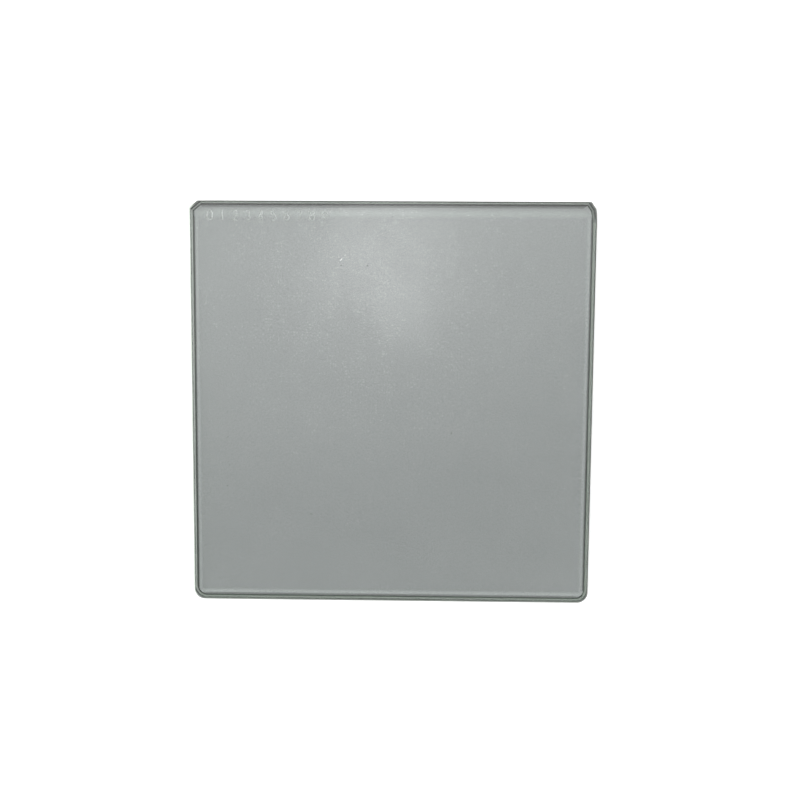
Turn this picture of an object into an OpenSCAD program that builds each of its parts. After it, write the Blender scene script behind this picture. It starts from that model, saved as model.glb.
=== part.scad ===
// Square soft focus filter, made to slide into a filter tray in front of a lens.
// It is one plate of glass: a blank is cut oversize, then every edge is ground by a wheel
// whose section leaves the wall and both arrises in a single pass.
// The plate lies on its rear face. The origin is the middle of that face, +Z is the optical
// axis out of the front face, and +Y points to the head edge, which is opposite the foot edge.

/* [Plate] */
// Width of the plate, from side edge to side edge
plate_w = 101.6; // [60:0.1:165]
// Height of the plate, from the foot edge to the head edge
plate_h = 101.6; // [60:0.1:165]
// Thickness of the glass
plate_t = 4; // [2:0.1:6]

/* [Arrises of the long edges] */
// Width of the front arris, across the front face
front_arris_w = 0.35; // [0.1:0.05:0.8]
// Depth of the front arris, down the wall
front_arris_d = 0.3; // [0.1:0.05:0.8]
// Width of the rear arris, across the rear face
rear_arris_w = 0.6; // [0.1:0.05:0.8]
// Depth of the rear arris, up the wall
rear_arris_d = 0.5; // [0.1:0.05:0.8]

/* [Left head corner] */
// Length that the corner cut takes off the head edge
left_cut_head = 1.95; // [1:0.05:6]
// Length that the corner cut takes off the left side edge
left_cut_side = 1.6; // [1:0.05:6]

/* [Right head corner] */
// Length that the corner cut takes off the head edge
right_cut_head = 1.35; // [1:0.05:6]
// Length that the corner cut takes off the right side edge
right_cut_side = 1.9; // [1:0.05:6]
// Length that the easing cut would take off the head edge of a square corner
right_ease_head = 0.45; // [0.2:0.05:0.9]
// Length that the easing cut takes off the right side edge
right_ease_side = 2.8; // [2:0.05:8]

/* [Arrises of the head corners] */
// Width and depth of the front arris along the corner cuts
corner_front_arris = 0.55; // [0.1:0.05:0.8]
// Width and depth of the rear arris along the corner cuts
corner_rear_arris = 0.85; // [0.1:0.05:0.9]

/* [Foot corners] */
// Radius of the left foot corner
left_foot_r = 2.9; // [2:0.1:10]
// Radius of the right foot corner
right_foot_r = 2.7; // [2:0.1:10]

/* [Hidden] */

// Pale grey-green of the hazy glass
glass_colour = "#a2a8a7";

// Stock that the blank carries on every edge before it is ground
grind_stock = 1;
// Each arris cut runs on past its face by this many of its own widths
run_out = 1;
// Facets of a full turn on the rounded corners
round_fn = 96;

// The wheel reaches past the corner of the blank from any edge or corner cut
wheel_reach = grind_stock
  + max(left_foot_r, right_foot_r, left_cut_head, left_cut_side, right_cut_head, right_cut_side, right_ease_side);

// Finished outline, half widths from the optical axis
half_w = plate_w / 2;
half_h = plate_h / 2;

// Arris sizes as [width across the face, depth down the wall]
edge_front = [front_arris_w, front_arris_d];
edge_rear = [rear_arris_w, rear_arris_d];
corner_front = [corner_front_arris, corner_front_arris];
corner_rear = [corner_rear_arris, corner_rear_arris];

// Section of the grinding wheel, all that it removes outside the finished edge.
// x is the distance outside the wall, and y the height above the rear face.
module wheel_section(front, rear) {
  polygon([
    [0, rear.y],
    [-rear.x * (1 + run_out), -rear.y * run_out],
    [wheel_reach, -rear.y * run_out],
    [wheel_reach, plate_t + front.y * run_out],
    [-front.x * (1 + run_out), plate_t + front.y * run_out],
    [0, plate_t - front.y]
  ]);
}

// One straight pass of the wheel, from one point of the outline to another.
// The outline runs anticlockwise, so the wheel works on its right-hand side.
module straight_pass(start, end, front, rear) {
  run = end - start;
  translate(end)
    rotate(atan2(run.y, run.x) - 90)
      rotate([90, 0, 0])
        linear_extrude(norm(run)) wheel_section(front, rear);
}

// The wheel swings a quarter turn round a foot corner; side is 1 on the right and -1 on the left
module foot_corner_pass(side, radius) {
  translate([side * (half_w - radius), radius - half_h])
    rotate(side > 0 ? -90 : 180)
      rotate_extrude(angle = 90, $fn = round_fn)
        translate([radius, 0]) wheel_section(edge_front, edge_rear);
}

// A flat cut across the right head corner, run out past the blank at both ends
module head_corner_pass(off_head, off_side) {
  low = [half_w, half_h - off_side];
  high = [half_w - off_head, half_h];
  along = (high - low) / norm(high - low);
  straight_pass(low - along * wheel_reach, high + along * wheel_reach, corner_front, corner_rear);
}

// Passes along the four long edges: the foot pass stops where the corner rounds begin
module long_edge_passes() {
  past_head = half_h + grind_stock;
  past_side = half_w + grind_stock;
  straight_pass([left_foot_r - half_w, -half_h], [half_w - right_foot_r, -half_h], edge_front, edge_rear);
  straight_pass([half_w, right_foot_r - half_h], [half_w, past_head], edge_front, edge_rear);
  straight_pass([past_side, half_h], [-past_side, half_h], edge_front, edge_rear);
  straight_pass([-half_w, past_head], [-half_w, left_foot_r - half_h], edge_front, edge_rear);
}

// The blank, cut oversize from the sheet
module blank() {
  translate([-half_w - grind_stock, -half_h - grind_stock, 0])
    cube([plate_w + 2 * grind_stock, plate_h + 2 * grind_stock, plate_t]);
}

module filter_plate() {
  color(glass_colour)
    difference() {
      blank();
      long_edge_passes();
      foot_corner_pass(1, right_foot_r);
      foot_corner_pass(-1, left_foot_r);
      head_corner_pass(right_cut_head, right_cut_side);
      head_corner_pass(right_ease_head, right_ease_side);
      mirror([1, 0, 0]) head_corner_pass(left_cut_head, left_cut_side);
    }
}

filter_plate();
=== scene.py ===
"""Looks of a square soft focus filter: one plate of diffusing glass with wheel-ground edges.

The plate lies face up on a pale floor, and the camera looks down on it from where the photograph
was taken. Its head edge, with the two flat-cut corners, points to +Y.
"""

import logging
import math
from dataclasses import dataclass
from enum import IntEnum
from typing import Optional, Union

import bmesh
import bpy
from mathutils import Matrix, Vector

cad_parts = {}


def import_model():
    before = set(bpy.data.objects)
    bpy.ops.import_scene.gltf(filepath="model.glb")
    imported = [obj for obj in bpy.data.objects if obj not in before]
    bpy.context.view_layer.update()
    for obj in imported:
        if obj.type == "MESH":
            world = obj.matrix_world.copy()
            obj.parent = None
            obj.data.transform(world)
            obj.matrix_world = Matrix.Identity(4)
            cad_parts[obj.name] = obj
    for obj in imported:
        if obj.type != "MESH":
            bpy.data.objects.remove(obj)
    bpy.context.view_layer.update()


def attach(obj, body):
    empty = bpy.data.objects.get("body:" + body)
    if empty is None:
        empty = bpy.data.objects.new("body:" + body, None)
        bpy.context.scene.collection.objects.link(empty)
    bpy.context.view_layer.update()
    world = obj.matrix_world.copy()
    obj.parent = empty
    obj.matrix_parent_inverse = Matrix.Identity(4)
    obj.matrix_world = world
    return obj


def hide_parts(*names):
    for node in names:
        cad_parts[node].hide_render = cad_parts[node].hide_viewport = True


MM = 0.001
NODE = "filter_plate"
BODY = "root"
GLASS_IOR = 1.52

# Width of the photograph and of a render
IMAGE_PX = 800

# Settings that several nodes share: an eased ramp, a mix of two colours and a flat pattern
EASED = {"interpolation_type": "SMOOTHSTEP"}
COLOUR_MIX = {"data_type": "RGBA"}
FLAT = {"noise_dimensions": "2D"}

# Socket numbers of a Mix node that mixes colours: its two colours and what it gives
MIX_A = 6
MIX_B = 7
MIXED = 2

LOG = logging.getLogger("soft_focus_filter")

SocketValue = Union[bpy.types.NodeSocket, float, tuple, Vector]
SocketValues = dict[Union[str, int], SocketValue]


def linear(hex_code: str) -> tuple[float, float, float, float]:
    """Turn an sRGB hex colour to linear RGBA by the standard's own curve.

    Args:
        hex_code: Six hex digits, such as "a2a8a7".

    Returns:
        Red, green, blue and an alpha of 1.
    """
    channels = [int(hex_code[i:i + 2], 16) / 255 for i in (0, 2, 4)]
    red, green, blue = (c / 12.92 if c <= 0.04045 else ((c + 0.055) / 1.055) ** 2.4 for c in channels)
    return red, green, blue, 1.0


def add_node(tree: bpy.types.NodeTree, kind: str, settings: Optional[dict] = None,
             inputs: Optional[SocketValues] = None) -> bpy.types.Node:
    """Add one node with its settings, values and links.

    Args:
        tree: The node tree that takes the node.
        kind: Blender's name of the node type, without its "ShaderNode" prefix.
        settings: Properties of the node by name.
        inputs: Input sockets by name or number, each a value or an output socket to link from.

    Returns:
        The new node.
    """
    node = tree.nodes.new("ShaderNode" + kind)
    for name, value in (settings or {}).items():
        setattr(node, name, value)
    for key, value in (inputs or {}).items():
        if isinstance(value, bpy.types.NodeSocket):
            tree.links.new(value, node.inputs[key])
        else:
            node.inputs[key].default_value = value
    return node


@dataclass(frozen=True)
class GlassFinish:
    """What the finishes of the glass share: a named material with one Principled shader."""

    name: str

    def make(self) -> bpy.types.Material:
        """Build the material.

        Returns:
            The finished material.
        """
        material = bpy.data.materials.new(self.name)
        material.use_nodes = True
        tree = material.node_tree
        tree.nodes.clear()
        shader = add_node(tree, "BsdfPrincipled", inputs={"IOR": GLASS_IOR, **self.inputs(tree)})
        add_node(tree, "OutputMaterial", inputs={"Surface": shader.outputs["BSDF"]})
        return material

    def inputs(self, tree: bpy.types.NodeTree) -> SocketValues:
        """Wire the finish.

        Args:
            tree: The material's node tree.

        Returns:
            What goes to the shader's inputs.
        """
        raise NotImplementedError


@dataclass(frozen=True)
class Patches:
    """An uneven pattern: the size of its largest patches, and how many finer layers and how strong."""

    size_mm: float
    layers: float
    roughness: float = 0.5


@dataclass(frozen=True)
class Specks:
    """Small round marks strewn over the face: one to a cell, and only in a share of the cells.

    The share falls off from one place on the face: it is share up to near_mm from there, and
    share_far from far_mm on. The outer part of a mark, soft of its radius, fades out.
    """

    cell_mm: float
    radius_mm: float
    share: float
    share_far: float
    centre_mm: tuple[float, float, float] = (-6.0, 31.0, 4.0)
    near_mm: float = 8.0
    far_mm: float = 48.0
    soft: float = 0.5

    def amount(self, tree: bpy.types.NodeTree, place: bpy.types.NodeSocket,
               crowd: SocketValue) -> bpy.types.NodeSocket:
        """Wire the marks.

        Args:
            tree: The material's node tree.
            place: Where on the face, in metres.
            crowd: How closely the marks lie here, from 0 to 2.

        Returns:
            How much of a mark there is, from 0 to 1.
        """
        cells = add_node(tree, "TexVoronoi", {"voronoi_dimensions": "2D"}, {
            "Vector": place, "Scale": 1 / (self.cell_mm * MM)})
        radius = self.radius_mm / self.cell_mm
        blob = add_node(tree, "MapRange", EASED, {
            "Value": cells.outputs["Distance"], "From Min": radius, "From Max": radius * (1 - self.soft)})
        away = add_node(tree, "VectorMath", {"operation": "DISTANCE"}, {
            0: place, 1: Vector(self.centre_mm) * MM})
        share = add_node(tree, "MapRange", inputs={
            "Value": away.outputs["Value"], "From Min": self.far_mm * MM, "From Max": self.near_mm * MM,
            "To Min": self.share_far, "To Max": self.share})
        share = add_node(tree, "Math", {"operation": "MULTIPLY"}, {0: share.outputs["Result"], 1: crowd})
        draw = add_node(tree, "SeparateColor", inputs={"Color": cells.outputs["Color"]})
        chosen = add_node(tree, "Math", {"operation": "LESS_THAN"}, {
            0: draw.outputs["Red"], 1: share.outputs[0]})
        # Most marks are faint: the strength of a mark is a random number squared
        strength = add_node(tree, "Math", {"operation": "MULTIPLY"}, {
            0: draw.outputs["Green"], 1: draw.outputs["Green"]})
        strength = add_node(tree, "Math", {"operation": "MULTIPLY"}, {
            0: strength.outputs[0], 1: chosen.outputs[0]})
        return add_node(tree, "Math", {"operation": "MULTIPLY"}, {
            0: strength.outputs[0], 1: blob.outputs["Result"]}).outputs[0]


@dataclass(frozen=True)
class DiffusingFace(GlassFinish):
    """Front face of the diffusing glass."""

    # Float glass, its face etched to a very fine grain with small dimples in it. The glass holds a few
    # bubbles. The grain scatters a veil of light, so clear glass looks pale, grey-green and a little
    # milky.
    # The face isn't quite flat, so a lamp's reflection spreads into an uneven soft glow.
    # The light that the dimples catch is painted as fine bright specks, crowded near the glow, and a few
    # bubbles show as dark points.
    name: str = "diffusing_glass_face"
    colour: str = "b6bab9"
    clouded: str = "bfc2c1"
    glint_colour: str = "f0f3f1"
    bubble_colour: str = "5d6361"
    transmission: float = 0.93
    specular: float = 0.15
    smooth: float = 0.04
    hazy: float = 0.09
    clouds: Patches = Patches(14.0, layers=3.0, roughness=0.55)
    crowds: Patches = Patches(7.0, layers=2.0)
    waves: Patches = Patches(15.0, layers=2.5)
    wave_height_mm: float = 0.09
    # The real grain is near 0.1 mm; it is drawn at 0.4 mm, which is a pixel and a half
    grain: Patches = Patches(0.4, layers=3.0, roughness=0.7)
    grain_height_mm: float = 0.002
    grain_shade: str = "a8acac"
    # Painted glints: pale specks that stand for the light the dimples catch, most of them near the glow
    painted_glints: Specks = Specks(cell_mm=0.65, radius_mm=0.19, share=0.5, share_far=0.02)
    bubbles: Specks = Specks(cell_mm=7.0, radius_mm=0.24, share=0.14, share_far=0.14)
    # Noise levels between which the painted glints and the bubbles go from none to a crowd, and the grain
    # from dark to pale
    crowd_from: float = 0.35
    crowd_to: float = 0.65
    crowd_most: float = 2.0
    grain_from: float = 0.35
    grain_to: float = 0.55

    def inputs(self, tree: bpy.types.NodeTree) -> SocketValues:
        """Wire clouds, waves, grain, painted glints and bubbles.

        Args:
            tree: The material's node tree.

        Returns:
            What goes to the shader's inputs.
        """
        place = add_node(tree, "TexCoord").outputs["Object"]
        clouds, waves, grain, crowds = (
            add_node(tree, "TexNoise", FLAT, {
                "Vector": place, "Scale": 1 / (pattern.size_mm * MM), "Detail": pattern.layers,
                "Roughness": pattern.roughness}).outputs["Fac"]
            for pattern in (self.clouds, self.waves, self.grain, self.crowds))
        crowd = add_node(tree, "MapRange", inputs={
            "Value": crowds, "From Min": self.crowd_from, "From Max": self.crowd_to,
            "To Max": self.crowd_most})
        cloudy = add_node(tree, "Mix", COLOUR_MIX, {
            "Factor": clouds, MIX_A: linear(self.colour), MIX_B: linear(self.clouded)})
        shade = add_node(tree, "MapRange", inputs={
            "Value": grain, "From Min": self.grain_from, "From Max": self.grain_to})
        colour = add_node(tree, "Mix", COLOUR_MIX, {
            "Factor": shade.outputs["Result"], MIX_A: linear(self.grain_shade),
            MIX_B: cloudy.outputs[MIXED]})
        for marks, tone in ((self.painted_glints, self.glint_colour), (self.bubbles, self.bubble_colour)):
            colour = add_node(tree, "Mix", COLOUR_MIX, {
                "Factor": marks.amount(tree, place, crowd.outputs["Result"]),
                MIX_A: colour.outputs[MIXED], MIX_B: linear(tone)})
        rough = add_node(tree, "MapRange", inputs={
            "Value": clouds, "To Min": self.smooth, "To Max": self.hazy})
        wavy = add_node(tree, "Bump", inputs={
            "Height": waves, "Strength": 1.0, "Distance": self.wave_height_mm * MM})
        grainy = add_node(tree, "Bump", inputs={
            "Height": grain, "Strength": 1.0, "Distance": self.grain_height_mm * MM,
            "Normal": wavy.outputs["Normal"]})
        return {"Base Color": colour.outputs[MIXED], "Roughness": rough.outputs["Result"],
                "Specular IOR Level": self.specular, "Transmission Weight": self.transmission,
                "Normal": grainy.outputs["Normal"]}


@dataclass(frozen=True)
class EdgeLines:
    """Painted shade and a painted bright line along one edge of the rear face, in mm from that edge.

    The edge is named by its axis (0 for X, 1 for Y) and the sign of its side. The band of painted shade has
    a start, the end of its full shade and the place where it is gone, and a strength. The painted bright
    line has a start, a peak and an end, and a strength.
    """

    axis: int
    sign: int
    margin: tuple[float, float, float]
    shade: float
    lit: tuple[float, float, float]
    light: float


@dataclass(frozen=True, kw_only=True)
class RearFace(GlassFinish):
    """Rear face of the glass, with the painted shade and painted bright lines of the ground edges."""

    # Polished float glass, nearly as smooth as it left the tin bath; handling has rubbed it a little,
    # so its gloss varies.
    # The ground edges throw light back into the glass, and this is painted on the face: a band of painted
    # shade along each edge, mitred at the corners, and a soft painted bright line inside it. Both are
    # widest at the head and next widest at the foot. A narrow strip of the head's painted shade, next to
    # the arris, is darker still, and so that edge stands in the list twice.
    name: str = "polished_glass_rear"
    half_mm: tuple[float, float]
    colour: str = "b8bcbb"
    # Colours of the painted shade and of the painted bright line
    margin: str = "20261f"
    lit: str = "e2e8e6"
    transmission: float = 0.84
    specular: float = 1.0
    smooth: float = 0.03
    rubbed: float = 0.06
    rubs: Patches = Patches(9.0, layers=4.0)
    blend_mm: float = 0.1
    # Near a corner a band of painted shade fades out. It is gone while its own edge is nearer than the one
    # beside it by less than the first distance, and whole from the second on.
    mitre_mm: tuple[float, float] = (1.3, 1.8)
    lines: tuple[EdgeLines, ...] = (
        EdgeLines(axis=1, sign=1, margin=(0.55, 0.72, 0.85), shade=1.0, lit=(1.3, 2.6, 4.2), light=0.6),
        EdgeLines(axis=1, sign=1, margin=(0.55, 1.05, 1.45), shade=0.72, lit=(1.3, 2.6, 4.2), light=0.6),
        EdgeLines(axis=1, sign=-1, margin=(0.55, 0.8, 1.2), shade=0.45, lit=(0.9, 1.35, 2.3), light=1.0),
        EdgeLines(axis=0, sign=-1, margin=(0.55, 0.65, 1.0), shade=0.95, lit=(0.6, 1.15, 1.9), light=0.75),
        EdgeLines(axis=0, sign=1, margin=(0.55, 0.7, 1.1), shade=0.86, lit=(0.8, 1.35, 2.1), light=0.5),
    )

    def inputs(self, tree: bpy.types.NodeTree) -> SocketValues:
        """Wire the margins and the bright lines.

        Args:
            tree: The material's node tree.

        Returns:
            What goes to the shader's inputs.
        """
        place = add_node(tree, "TexCoord").outputs["Object"]
        scaled = add_node(tree, "VectorMath", {"operation": "SCALE"}, {0: place, "Scale": 1 / MM})
        axes = add_node(tree, "SeparateXYZ", inputs={0: scaled.outputs[0]}).outputs
        # For the lines of each axis, how far in from the nearer of the two edges beside them
        flanks: list[bpy.types.Node] = []
        for half, other in zip(reversed(self.half_mm), "YX"):
            out = add_node(tree, "Math", {"operation": "ABSOLUTE"}, {0: axes[other]})
            flanks.append(add_node(tree, "Math", {"operation": "SUBTRACT"}, {0: half, 1: out.outputs[0]}))
        margin: SocketValue = 0.0
        lit: SocketValue = 0.0
        for line in self.lines:
            inset = add_node(tree, "Math", {"operation": "MULTIPLY_ADD"}, {
                0: axes[line.axis], 1: -line.sign, 2: self.half_mm[line.axis]}).outputs[0]
            # The painted bright line
            start, peak, end = line.lit
            rise = add_node(tree, "MapRange", EASED, {
                "Value": inset, "From Min": start, "From Max": peak, "To Max": line.light})
            fall = add_node(tree, "MapRange", EASED, {"Value": inset, "From Min": end, "From Max": peak})
            glint = add_node(tree, "Math", {"operation": "MULTIPLY"}, {
                0: rise.outputs["Result"], 1: fall.outputs["Result"]})
            lit = add_node(tree, "Math", {"operation": "MAXIMUM"}, {0: lit, 1: glint.outputs[0]}).outputs[0]
            # The band of painted shade, faded out near the corners
            start, full, gone = line.margin
            rise = add_node(tree, "MapRange", EASED, {
                "Value": inset, "From Min": start - self.blend_mm, "From Max": start, "To Max": line.shade})
            fall = add_node(tree, "MapRange", EASED, {"Value": inset, "From Min": gone, "From Max": full})
            band = add_node(tree, "Math", {"operation": "MULTIPLY"}, {
                0: rise.outputs["Result"], 1: fall.outputs["Result"]})
            beside = add_node(tree, "Math", {"operation": "SUBTRACT"}, {
                0: flanks[line.axis].outputs[0], 1: inset})
            mitre = add_node(tree, "MapRange", EASED, {
                "Value": beside.outputs[0], "From Min": self.mitre_mm[0], "From Max": self.mitre_mm[1]})
            band = add_node(tree, "Math", {"operation": "MULTIPLY"}, {
                0: band.outputs[0], 1: mitre.outputs["Result"]})
            margin = add_node(tree, "Math", {"operation": "MAXIMUM"}, {
                0: margin, 1: band.outputs[0]}).outputs[0]
        # Paint the shade, then the bright line, over the face's colour
        darker = add_node(tree, "Mix", COLOUR_MIX, {
            "Factor": margin, MIX_A: linear(self.colour), MIX_B: linear(self.margin)})
        lighter = add_node(tree, "Mix", COLOUR_MIX, {
            "Factor": lit, MIX_A: darker.outputs[MIXED], MIX_B: linear(self.lit)})
        rubs = add_node(tree, "TexNoise", FLAT, {
            "Vector": place, "Scale": 1 / (self.rubs.size_mm * MM), "Detail": self.rubs.layers,
            "Roughness": self.rubs.roughness})
        rough = add_node(tree, "MapRange", inputs={
            "Value": rubs.outputs["Fac"], "To Min": self.smooth, "To Max": self.rubbed})
        return {"Base Color": lighter.outputs[MIXED], "Roughness": rough.outputs["Result"],
                "Specular IOR Level": self.specular, "Transmission Weight": self.transmission}


@dataclass(frozen=True)
class PaintedEdgeLight:
    """Painted light: a paler colour along the left side edge and along the foot edge, which stands in the
    tray, for the light that falls on them.

    It starts at one distance out from the middle of the plate, and is full from the second on.
    """

    colour: str
    left: float = 0.0
    foot: float = 0.0
    start_mm: float = 49.6
    full_mm: float = 50.3

    def over(self, tree: bpy.types.NodeTree, ground: SocketValue) -> bpy.types.NodeSocket:
        """Wire the painted light over a colour.

        Args:
            tree: The material's node tree.
            ground: The colour without the painted light.

        Returns:
            The colour with the painted light.
        """
        place = add_node(tree, "TexCoord").outputs["Object"]
        axes = add_node(tree, "SeparateXYZ", inputs={0: place}).outputs
        wear_and_painted_light: SocketValue = 0.0
        for axis, strength in (("X", self.left), ("Y", self.foot)):
            near = add_node(tree, "MapRange", inputs={
                "Value": axes[axis], "From Min": -self.start_mm * MM, "From Max": -self.full_mm * MM,
                "To Max": strength})
            wear_and_painted_light = add_node(tree, "Math", {"operation": "MAXIMUM"}, {
                0: wear_and_painted_light, 1: near.outputs["Result"]}).outputs[0]
        return add_node(tree, "Mix", COLOUR_MIX, {
            "Factor": wear_and_painted_light, MIX_A: ground, MIX_B: linear(self.colour)}).outputs[MIXED]


@dataclass(frozen=True)
class GroundEdge(GlassFinish):
    """Glass ground on a diamond wheel, with fine lines that run along the edge."""

    # Float glass cut by diamond grit. The grit leaves a satin face, scored along the wheel's run,
    # so it is seen as a soft green-grey band with thin lines in it. It has one colour in the lines
    # and another where they are worn smooth.
    name: str
    colour: str
    wear_and_painted_light: str
    transmission: float
    roughness: float
    specular: float = 0.5
    line_mm: float = 0.1
    line_run_mm: float = 6.0
    line_height_mm: float = 0.0025
    line_layers: float = 2.0
    # Painted light along the left side edge and the foot edge, if any
    painted_light: Optional[PaintedEdgeLight] = None

    def inputs(self, tree: bpy.types.NodeTree) -> SocketValues:
        """Wire the wheel's lines.

        Args:
            tree: The material's node tree.

        Returns:
            What goes to the shader's inputs.
        """
        place = add_node(tree, "TexCoord").outputs["Object"]
        along = 1 / (self.line_run_mm * MM)
        upward = 1 / (self.line_mm * MM)
        stretched = add_node(tree, "VectorMath", {"operation": "MULTIPLY"}, {
            0: place, 1: (along, along, upward)})
        lines = add_node(tree, "TexNoise", inputs={
            "Vector": stretched.outputs[0], "Scale": 1.0, "Detail": self.line_layers})
        colour = add_node(tree, "Mix", COLOUR_MIX, {
            "Factor": lines.outputs["Fac"], MIX_A: linear(self.colour),
            MIX_B: linear(self.wear_and_painted_light)}).outputs[MIXED]
        # Paint a lighter colour where more light falls on the edge
        if self.painted_light:
            colour = self.painted_light.over(tree, colour)
        bump = add_node(tree, "Bump", inputs={
            "Height": lines.outputs["Fac"], "Strength": 1.0, "Distance": self.line_height_mm * MM})
        return {"Base Color": colour, "Roughness": self.roughness, "Specular IOR Level": self.specular,
                "Transmission Weight": self.transmission, "Normal": bump.outputs["Normal"]}


@dataclass(frozen=True)
class ShadedArris(GroundEdge):
    """Rear arris as it is seen through the glass, with its light and shade painted."""

    # The same ground glass, with painted light and shade. Next to the wall it has its lit colour, painted
    # for the light from outside. Next to the rear face it throws the light sideways into the glass, and
    # that shade is painted as a thin dark green line. At the head the painted shade is nearly black.
    dark: str = "2c4632"
    head_dark: str = "0e150c"
    # Painted light over the dark line at the foot
    dark_painted_light: PaintedEdgeLight = PaintedEdgeLight("7a887a", foot=0.65)
    # Up to this height the arris is painted dark
    dark_height_mm: float = 0.26
    # On the right side edge the painted shade covers this much less of the arris height
    right_less_mm: float = 0.1
    # The arris of the right side edge and of the head edge lies beyond this, out from the middle
    edge_from_mm: float = 50.0
    blend_mm: float = 0.06
    dark_specular: float = 0.1
    # Above this height the arris is painted dark again, as the coarser corner arris is
    shade_from_mm: float = 4.0

    def inputs(self, tree: bpy.types.NodeTree) -> SocketValues:
        """Wire the ground lines, then the painted dark line and painted light.

        Args:
            tree: The material's node tree.

        Returns:
            What goes to the shader's inputs.
        """
        ground = super().inputs(tree)
        place = add_node(tree, "TexCoord").outputs["Object"]
        axes = add_node(tree, "SeparateXYZ", inputs={0: place}).outputs
        height = axes["Z"]
        right, head = (add_node(tree, "Math", {"operation": "GREATER_THAN"}, {
            0: axes[axis], 1: self.edge_from_mm * MM}).outputs[0] for axis in "XY")
        above = add_node(tree, "Math", {"operation": "MULTIPLY_ADD"}, {
            0: right, 1: self.right_less_mm * MM, 2: height})
        # The painted shade, nearly black at the head
        dark = add_node(tree, "Mix", COLOUR_MIX, {
            "Factor": head, MIX_A: self.dark_painted_light.over(tree, linear(self.dark)),
            MIX_B: linear(self.head_dark)})
        lit = add_node(tree, "MapRange", EASED, {
            "Value": above.outputs[0], "From Min": (self.dark_height_mm - self.blend_mm) * MM,
            "From Max": (self.dark_height_mm + self.blend_mm) * MM}).outputs["Result"]
        low = add_node(tree, "MapRange", EASED, {
            "Value": height, "From Min": (self.shade_from_mm + self.blend_mm) * MM,
            "From Max": (self.shade_from_mm - self.blend_mm) * MM}).outputs["Result"]
        lit = add_node(tree, "Math", {"operation": "MULTIPLY"}, {0: lit, 1: low}).outputs[0]
        # Paint the dark line below dark_height_mm and above shade_from_mm and the lit colour between; the
        # dark part lets no light through
        colour = add_node(tree, "Mix", COLOUR_MIX, {
            "Factor": lit, MIX_A: dark.outputs[MIXED], MIX_B: ground["Base Color"]})
        clear = add_node(tree, "Math", {"operation": "MULTIPLY"}, {0: lit, 1: self.transmission})
        return {**ground, "Base Color": colour.outputs[MIXED], "Transmission Weight": clear.outputs[0],
                "Specular IOR Level": self.dark_specular}


@dataclass(frozen=True)
class StudioFloor:
    """Pale floor that the plate lies on."""

    # Matt white paper, pressed without a coating, so it has no shine of its own. It is also lit
    # from within for the rays that see it as the background.
    colour: str = "eeeeee"
    glow: float = 0.36

    def make(self) -> bpy.types.Material:
        """Build the material.

        Returns:
            The floor's material.
        """
        material = bpy.data.materials.new("pale_paper")
        material.use_nodes = True
        tree = material.node_tree
        tree.nodes.clear()
        matt = add_node(tree, "BsdfDiffuse", inputs={"Color": linear(self.colour)})
        path = add_node(tree, "LightPath").outputs
        seen: SocketValue = path["Is Camera Ray"]
        for ray in ("Is Transmission Ray", "Is Glossy Ray"):
            seen = add_node(tree, "Math", {"operation": "MAXIMUM"}, {0: seen, 1: path[ray]}).outputs[0]
        strength = add_node(tree, "Math", {"operation": "MULTIPLY"}, {0: seen, 1: self.glow})
        glow = add_node(tree, "Emission", inputs={"Strength": strength.outputs[0]})
        both = add_node(tree, "AddShader", inputs={0: matt.outputs[0], 1: glow.outputs[0]})
        add_node(tree, "OutputMaterial", inputs={"Surface": both.outputs[0]})
        return material


class Surface(IntEnum):
    """Material slots of the plate."""

    FRONT = 0
    REAR = 1
    WALL = 2
    CORNER_WALL = 3
    FRONT_ARRIS = 4
    REAR_ARRIS = 5
    CORNER_ARRIS = 6
    GROOVE = 7
    SCRATCH = 8


@dataclass(frozen=True)
class Arc:
    """Part of an ellipse inside a numeral's unit box, from one angle to another in degrees."""

    x: float
    y: float
    across: float
    up: float
    start: float
    end: float
    # Degrees from one of its points to the next
    step: float = 20.0

    def points(self) -> list[tuple[float, float]]:
        """Walk along the arc."""
        count = round(abs(self.end - self.start) / self.step)
        turns = [math.radians(self.start + (self.end - self.start) * i / count) for i in range(count + 1)]
        return [(self.x + self.across * math.cos(t), self.y + self.up * math.sin(t)) for t in turns]


# Plain numerals as single strokes in a unit box; each stroke is a run of points and arcs
NUMERALS = {
    "0": ((Arc(0.5, 0.65, 0.48, 0.35, 180, 0), Arc(0.5, 0.35, 0.48, 0.35, 0, -180), (0.02, 0.65)),),
    "1": (((0.2, 0.8), (0.5, 1.0), (0.5, 0.0)),),
    "2": ((Arc(0.48, 0.7, 0.44, 0.3, 165, -35), (0.05, 0.0)), ((0.05, 0.0), (0.95, 0.0))),
    "3": ((Arc(0.45, 0.76, 0.4, 0.24, 150, -90),), (Arc(0.45, 0.26, 0.46, 0.26, 90, -150),)),
    "4": (((0.75, 0.0), (0.75, 1.0)), ((0.72, 0.98), (0.02, 0.3), (1.0, 0.3))),
    "5": (((0.9, 1.0), (0.15, 1.0), (0.1, 0.56)), (Arc(0.46, 0.32, 0.46, 0.32, 138, -145),)),
    "6": (((0.72, 1.0), (0.3, 0.68), Arc(0.5, 0.3, 0.44, 0.3, 160, 500)),),
    "7": (((0.03, 1.0), (0.97, 1.0)), ((0.95, 0.98), (0.35, 0.0))),
    "8": ((Arc(0.5, 0.76, 0.37, 0.24, 0, 360),), (Arc(0.5, 0.26, 0.46, 0.26, 0, 360),)),
    "9": (((0.28, 0.0), (0.7, 0.32), Arc(0.5, 0.7, 0.44, 0.3, -20, 320)),),
}


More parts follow.
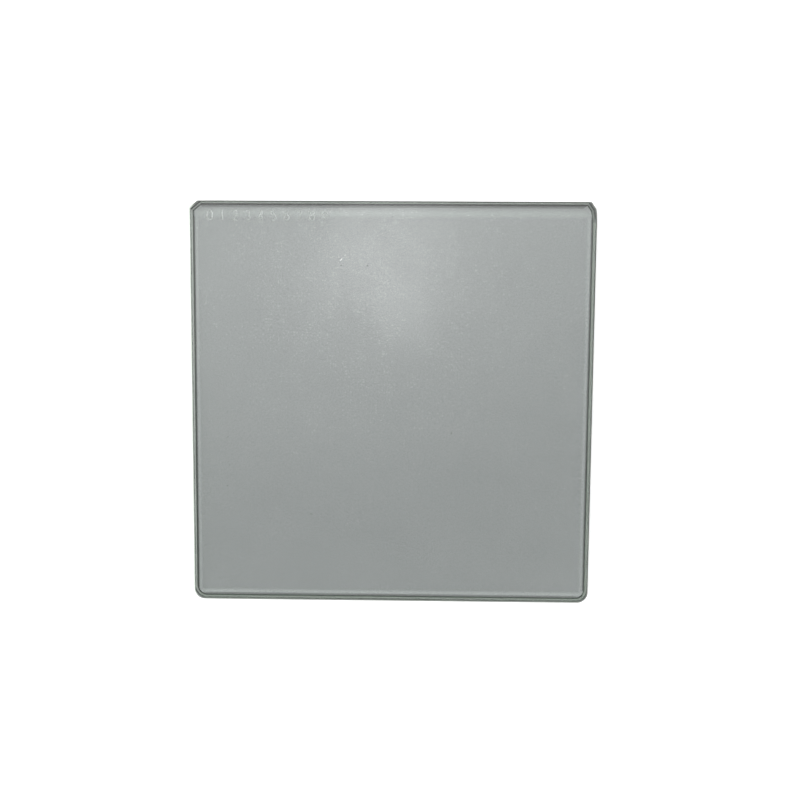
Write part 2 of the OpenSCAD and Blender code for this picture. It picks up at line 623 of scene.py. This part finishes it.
@dataclass(frozen=True)
class Groove:
    """One shallow V groove in the front face: its path, width and depth in mm."""

    path: tuple[tuple[float, float], ...]
    width: float
    depth: float
    # At a turn the V is widened by the cosine of half the turn, but by no smaller cosine than this
    sharpest: float = 0.5

    def sweep(self, bm: bmesh.types.BMesh, top: float) -> None:
        """Sweep the V of the cutting point along the path.

        Args:
            bm: The cutter so far.
            top: Height of the front face in mm.
        """
        line = [Vector((x, y, 0)) for x, y in self.path]
        up = Vector((0, 0, 1))
        rings = []
        for i, point in enumerate(line):
            before = (point - line[i - 1]).normalized() if i else (line[1] - point).normalized()
            after = (line[i + 1] - point).normalized() if i + 1 < len(line) else before
            along = (before + after).normalized()
            # The V is twice as wide at its own depth above the face
            reach = up.cross(along) * (self.width / max(along.dot(after), self.sharpest))
            rings.append([bm.verts.new(point + reach + up * (top + self.depth)),
                          bm.verts.new(point + up * (top - self.depth)),
                          bm.verts.new(point - reach + up * (top + self.depth))])
        for near, far in zip(rings, rings[1:]):
            for a, b in ((0, 1), (1, 2), (2, 0)):
                bm.faces.new((near[a], near[b], far[b], far[a]))
        bm.faces.new(rings[0][::-1])
        bm.faces.new(rings[-1])


@dataclass(frozen=True)
class EngravedLine:
    """A line of plain numerals near the head edge, each stroke a shallow V groove. Sizes are in mm."""

    text: str = "0123456789"
    left: float = -46.3
    foot: float = 46.0
    height: float = 2.3
    width: float = 1.35
    pitch: float = 3.2
    groove_width: float = 0.3
    groove_depth: float = 0.05

    def grooves(self) -> list[Groove]:
        """Lay out every stroke of the line on the front face.

        Returns:
            A groove for each stroke.
        """
        placed = []
        for count, mark in enumerate(self.text):
            for stroke in NUMERALS[mark]:
                unit: list[tuple[float, float]] = []
                for piece in stroke:
                    unit += piece.points() if isinstance(piece, Arc) else [piece]
                path = [(self.left + count * self.pitch + x * self.width, self.foot + y * self.height)
                        for x, y in unit]
                placed.append(Groove(tuple(path), self.groove_width, self.groove_depth))
        return placed


@dataclass(frozen=True)
class Arris:
    """Flat ground along an edge, in mm: its width across the face and its depth down the wall."""

    width: float
    depth: float


@dataclass(frozen=True)
class CornerCut:
    """Flat cut across a head corner, in mm: what it takes off the head edge and off the side edge.

    The side is -1 on the left and 1 on the right.
    """

    side: int
    off_head: float
    off_side: float


@dataclass(frozen=True)
class GroundPlate:
    """The plate of glass, ground out of an oversize blank as the part is. Sizes are in mm."""

    half_w: float = 50.8
    half_h: float = 50.8
    thick: float = 4.0
    # The left corner's cut, the right corner's, and the easing cut below that one
    cuts: tuple[CornerCut, ...] = (
        CornerCut(-1, 1.95, 1.6),
        CornerCut(1, 1.35, 1.9),
        CornerCut(1, 0.45, 2.8),
    )
    left_foot_radius: float = 2.9
    right_foot_radius: float = 2.7
    edge_front: Arris = Arris(0.35, 0.3)
    edge_rear: Arris = Arris(0.6, 0.5)
    corner_front: Arris = Arris(0.55, 0.55)
    corner_rear: Arris = Arris(0.85, 0.85)
    grind_stock: float = 1.0
    round_steps: int = 24
    # A groove lies farther in from every edge than any arris
    groove_inset: float = 1.8
    # Points this close to a cut lie on it, and a cut face has no fewer sides than this
    snap: float = 1e-6
    fewest_sides: int = 3
    # The facets of a rounded corner meet at less than this angle, and ground faces at more
    crease_deg: float = 6.0
    # A face is level when its normal rises by more than level, and upright when by less than upright
    level: float = 0.99
    upright: float = 0.1
    engraving: EngravedLine = EngravedLine()
    # Both lie above the middle of the face
    scratches: tuple[Groove, ...] = (
        Groove(((-12.95, 36.05), (-12.45, 36.65)), width=0.13, depth=0.03),
        Groove(((-11.9, 37.25), (-11.65, 37.55)), width=0.1, depth=0.03),
    )

    def blank(self) -> bmesh.types.BMesh:
        """Cut the oversize blank.

        Returns:
            A box with stock to grind on all four edges.
        """
        bm = bmesh.new()
        bmesh.ops.create_cube(bm, size=1.0)
        spread = (2 * (self.half_w + self.grind_stock), 2 * (self.half_h + self.grind_stock), self.thick)
        bmesh.ops.scale(bm, vec=spread, verts=bm.verts)
        bmesh.ops.translate(bm, vec=(0, 0, self.thick / 2), verts=bm.verts)
        return bm

    def slice(self, bm: bmesh.types.BMesh, place: Vector, normal: Vector) -> None:
        """Take off all that lies beyond a plane and close the cut.

        Args:
            bm: The plate so far.
            place: A point of the plane.
            normal: The plane's normal, which points to the waste.
        """
        made = bmesh.ops.bisect_plane(bm, geom=bm.verts[:] + bm.edges[:] + bm.faces[:], dist=self.snap,
                                      plane_co=place, plane_no=normal.normalized(), clear_outer=True)
        rim = [item for item in made["geom_cut"] if isinstance(item, bmesh.types.BMEdge)]
        if len(rim) >= self.fewest_sides:
            bmesh.ops.contextual_create(bm, geom=rim)

    def wheel_pass(self, bm: bmesh.types.BMesh, point: Vector, out: Vector, front: Arris,
                   rear: Arris) -> None:
        """Grind one wall and both its arrises.

        Args:
            bm: The plate so far.
            point: A point of the finished wall, at the height of the rear face.
            out: The wall's outward normal.
            front: The arris to the front face.
            rear: The arris to the rear face.
        """
        up = Vector((0, 0, 1))
        self.slice(bm, point, out)
        self.slice(bm, point + up * (self.thick - front.depth), out * front.depth + up * front.width)
        self.slice(bm, point + up * rear.depth, out * rear.depth - up * rear.width)

    def grind_long_edges(self, bm: bmesh.types.BMesh) -> None:
        """Grind the four long edges.

        Args:
            bm: The plate so far.
        """
        for out, reach in (((1, 0, 0), self.half_w), ((-1, 0, 0), self.half_w),
                           ((0, 1, 0), self.half_h), ((0, -1, 0), self.half_h)):
            normal = Vector(out)
            self.wheel_pass(bm, normal * reach, normal, self.edge_front, self.edge_rear)

    def cut_head_corners(self, bm: bmesh.types.BMesh) -> None:
        """Take the flat cuts across the two head corners.

        Args:
            bm: The plate so far.
        """
        for cut in self.cuts:
            normal = Vector((cut.side * cut.off_side, cut.off_head, 0)).normalized()
            start = Vector((cut.side * (self.half_w - cut.off_head), self.half_h, 0))
            self.wheel_pass(bm, start, normal, self.corner_front, self.corner_rear)

    def round_foot_corners(self, bm: bmesh.types.BMesh) -> None:
        """Swing the wheel round the two foot corners in small steps.

        Args:
            bm: The plate so far.
        """
        for side, radius in ((-1, self.left_foot_radius), (1, self.right_foot_radius)):
            centre = Vector((side * (self.half_w - radius), radius - self.half_h, 0))
            for step in range(self.round_steps):
                turn = math.radians(90) * (step + 0.5) / self.round_steps
                normal = Vector((side * math.cos(turn), -math.sin(turn), 0))
                self.wheel_pass(bm, centre + normal * radius, normal, self.edge_front, self.edge_rear)

    def to_object(self, bm: bmesh.types.BMesh, name: str) -> bpy.types.Object:
        """Turn a mesh in millimetres to an object in metres.

        Args:
            bm: The mesh, which is freed.
            name: The object's name.

        Returns:
            The new object, in the scene.
        """
        bmesh.ops.scale(bm, vec=(MM, MM, MM), verts=bm.verts)
        bmesh.ops.recalc_face_normals(bm, faces=bm.faces)
        mesh = bpy.data.meshes.new(name)
        bm.to_mesh(mesh)
        bm.free()
        made = bpy.data.objects.new(name, mesh)
        bpy.context.scene.collection.objects.link(made)
        return made

    def cut_grooves(self, plate: bpy.types.Object) -> None:
        """Cut the engraved line and the scratches into the plate.

        Args:
            plate: The ground plate, whose mesh is replaced.
        """
        bm = bmesh.new()
        for groove in (*self.engraving.grooves(), *self.scratches):
            groove.sweep(bm, self.thick)
        cutter = self.to_object(bm, "groove_cutter")
        work = plate.modifiers.new("grooves", "BOOLEAN")
        work.object = cutter
        work.operation = "DIFFERENCE"
        work.solver = "EXACT"
        # The strokes of a numeral cross one another
        work.use_self = True
        graph = bpy.context.evaluated_depsgraph_get()
        engraved = bpy.data.meshes.new_from_object(plate.evaluated_get(graph))
        plate.modifiers.clear()
        plate.data = engraved
        bpy.data.objects.remove(cutter)

    def surface_of(self, polygon: bpy.types.MeshPolygon) -> Surface:
        """Tell which surface of the plate a polygon belongs to.

        Args:
            polygon: A polygon of the finished mesh, in metres.

        Returns:
            Its surface.
        """
        rise = polygon.normal.z
        across = polygon.center.x / MM
        up = polygon.center.y / MM
        if abs(rise) > self.level:
            return Surface.FRONT if rise > 0 else Surface.REAR
        head_corner = up > 0 and min(abs(polygon.normal.x), abs(polygon.normal.y)) > self.upright
        if abs(rise) < self.upright:
            return Surface.CORNER_WALL if head_corner else Surface.WALL
        if rise < 0:
            return Surface.CORNER_ARRIS if head_corner else Surface.REAR_ARRIS
        inset = min(self.half_w - abs(across), self.half_h - abs(up))
        if inset < self.groove_inset:
            return Surface.FRONT_ARRIS
        # Every groove that lies lower than the engraved line is a scratch
        return Surface.SCRATCH if up < self.engraving.foot - self.groove_inset else Surface.GROOVE

    def dress(self, plate: bpy.types.Object) -> None:
        """Give each surface of the plate its finish.

        Args:
            plate: The ground and engraved plate.
        """
        finishes = {
            Surface.FRONT: DiffusingFace(),
            Surface.REAR: RearFace(half_mm=(self.half_w, self.half_h)),
            # The wall is ground fine enough to mirror the rear arris at a glancing look.
            # Its lines are drawn coarser than the real 0.05 mm, so that they show
            Surface.WALL: GroundEdge("ground_glass_wall", "8aa88f", "deecde", transmission=0.92,
                                     roughness=0.12, line_mm=0.5, line_run_mm=16.0, line_height_mm=0.008),
            # The head corners are ground by hand on a coarser wheel, so they are darker and streaked
            Surface.CORNER_WALL: GroundEdge("hand_ground_corner", "30392f", "a9b5a6", transmission=0.35,
                                            roughness=0.4, line_mm=0.5, line_run_mm=8.0),
            # A groove is cut by a diamond point, and its satin flanks catch the light
            Surface.GROOVE: GroundEdge("engraved_glass_groove", "b6bcb8", "c9cfcb", transmission=0.66,
                                       roughness=0.25),
            # A scratch is crushed glass, which is white
            Surface.SCRATCH: GroundEdge("scratched_glass", "f2f5f3", "ffffff", transmission=0.1,
                                        roughness=0.6),
            # The front arris looks into the plate, and that shade is painted into its dark colour; painted
            # light makes it pale on the left and at the foot
            Surface.FRONT_ARRIS: GroundEdge("ground_glass_front_arris", "2a342a", "3a463a",
                                            transmission=0.1, roughness=0.3, specular=1.0,
                                            painted_light=PaintedEdgeLight("a6b0a6", left=1.0, foot=0.35)),
            # The rear arris is seen through the plate, with its dark line painted, and painted light makes
            # it paler on the left as well
            Surface.REAR_ARRIS: ShadedArris("ground_glass_rear_arris", "b2c4b2", "c2cebf",
                                            transmission=0.5, roughness=0.5,
                                            painted_light=PaintedEdgeLight("e6eee4", left=0.7)),
            # The rear arris of the head corners comes from the coarser wheel too. Above 0.55 mm it is
            # painted dark again, so its painted light is only a narrow ribbon
            Surface.CORNER_ARRIS: ShadedArris("hand_ground_rear_arris", "4a554a", "aeb9ab",
                                              transmission=0.45, roughness=0.5, line_mm=0.15,
                                              shade_from_mm=0.55),
        }
        for surface in Surface:
            plate.data.materials.append(finishes[surface].make())
        for polygon in plate.data.polygons:
            polygon.material_index = self.surface_of(polygon)

    def build(self) -> bpy.types.Object:
        """Returns:
            The finished plate.
        """
        bm = self.blank()
        self.grind_long_edges(bm)
        self.cut_head_corners(bm)
        self.round_foot_corners(bm)
        plate = self.to_object(bm, "ground_plate")
        self.cut_grooves(plate)
        self.dress(plate)
        plate.data.polygons.foreach_set("use_smooth", [True] * len(plate.data.polygons))
        plate.data.set_sharp_from_angle(angle=math.radians(self.crease_deg))
        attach(plate, BODY)
        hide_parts(NODE)
        return plate


@dataclass(frozen=True)
class Lobe:
    """A soft patch of light on the studio's sky: brightest at its aim, gone at its rim."""

    power: float
    aim: tuple[float, float, float]
    rim_deg: float
    core_deg: float = 0.0


@dataclass(frozen=True)
class Studio:
    """Plain soft light: an even white room, a broad panel overhead and some softer patches."""

    floor_size_m: float = 3.0
    # Clear of the rear face by a hair, so that the two don't share a plane
    floor_gap_mm: float = 0.02
    # Strength of the room's even light
    even: float = 0.46
    # The panel overhead, the four patches that make the glow in the face, and a low one on the left
    lamps: tuple[Lobe, ...] = (
        Lobe(power=1.95, aim=(-0.14, 0.53, 1.0), rim_deg=44.0),
        Lobe(power=0.38, aim=(-0.04, 0.118, 1.0), rim_deg=10.5, core_deg=1.0),
        Lobe(power=0.85, aim=(-0.031, 0.118, 1.0), rim_deg=5.6, core_deg=1.0),
        Lobe(power=0.8, aim=(-0.012, 0.038, 1.0), rim_deg=3.2, core_deg=0.5),
        Lobe(power=0.4, aim=(-0.095, 0.08, 1.0), rim_deg=4.2, core_deg=0.5),
        Lobe(power=3.4, aim=(-1.0, -0.1, 0.4), rim_deg=48.0),
    )

    def light(self) -> None:
        """Light the room from its sky."""
        world = bpy.data.worlds.new("studio")
        world.use_nodes = True
        tree = world.node_tree
        tree.nodes.clear()
        outward = add_node(tree, "TexCoord").outputs["Generated"]
        total: SocketValue = self.even
        for lamp in self.lamps:
            facing = add_node(tree, "VectorMath", {"operation": "DOT_PRODUCT"},
                              {0: outward, 1: Vector(lamp.aim).normalized()})
            lobe = add_node(tree, "MapRange", EASED, {
                "Value": facing.outputs["Value"], "From Min": math.cos(math.radians(lamp.rim_deg)),
                "From Max": math.cos(math.radians(lamp.core_deg)), "To Max": lamp.power})
            total = add_node(tree, "Math", {"operation": "ADD"}, {
                0: lobe.outputs["Result"], 1: total}).outputs[0]
        # The camera itself sees plain white past the floor
        seen = add_node(tree, "LightPath").outputs["Is Camera Ray"]
        strength = add_node(tree, "Math", {"operation": "MAXIMUM"}, {0: total, 1: seen})
        sky = add_node(tree, "Background", inputs={"Color": (1, 1, 1, 1), "Strength": strength.outputs[0]})
        add_node(tree, "OutputWorld", inputs={"Surface": sky.outputs[0]})
        bpy.context.scene.world = world

    def lay_floor(self) -> None:
        """Lay the pale floor that the plate rests on."""
        bm = bmesh.new()
        bmesh.ops.create_grid(bm, x_segments=1, y_segments=1, size=self.floor_size_m / 2)
        mesh = bpy.data.meshes.new("floor")
        bm.to_mesh(mesh)
        bm.free()
        mesh.materials.append(StudioFloor().make())
        floor = bpy.data.objects.new("floor", mesh)
        floor.location.z = -self.floor_gap_mm * MM
        bpy.context.scene.collection.objects.link(floor)

    def build(self) -> None:
        """Set up the light and the floor."""
        bpy.context.scene.view_settings.view_transform = "Standard"
        self.light()
        self.lay_floor()


@dataclass(frozen=True)
class CameraStation:
    """Where the photograph was taken from: a little to the head side of the plate, looking down."""

    station_mm: tuple[float, float, float] = (5.03, 16.11, 198.6)
    aim_mm: tuple[float, float, float] = (2.21, 1.25, 3.7)
    roll_deg: float = 0.39
    focal_px: float = 771.5
    sensor_mm: float = 36.0
    nearest_mm: float = 10.0

    def build(self) -> bpy.types.Object:
        """Place the camera.

        Returns:
            The camera.
        """
        data = bpy.data.cameras.new("camera")
        data.sensor_width = self.sensor_mm
        data.lens = self.sensor_mm * self.focal_px / IMAGE_PX
        data.clip_start = self.nearest_mm * MM
        camera = bpy.data.objects.new("camera", data)
        bpy.context.scene.collection.objects.link(camera)
        station = Vector(self.station_mm) * MM
        aim = Vector(self.aim_mm) * MM
        back = (station - aim).normalized()
        right = Vector((0, 1, 0)).cross(back).normalized()
        level = Matrix((right, back.cross(right), back)).transposed()
        roll = Matrix.Rotation(math.radians(self.roll_deg), 3, "Z")
        camera.matrix_world = Matrix.Translation(station) @ (level @ roll).to_4x4()
        bpy.context.scene.camera = camera
        return camera


def main() -> None:
    """Build the plate, the studio and the camera."""
    logging.basicConfig(level=logging.INFO, format="%(name)s: %(message)s")
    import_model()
    plate = GroundPlate().build()
    LOG.info("%s: %d faces, %d finishes", plate.name, len(plate.data.polygons), len(plate.data.materials))
    studio = Studio()
    studio.build()
    LOG.info("studio: %d patches of light over a floor of %.0f m", len(studio.lamps), studio.floor_size_m)
    camera = CameraStation().build()
    LOG.info("%s: lens of %.1f mm", camera.name, camera.data.lens)


if __name__ == "__main__":
    main()
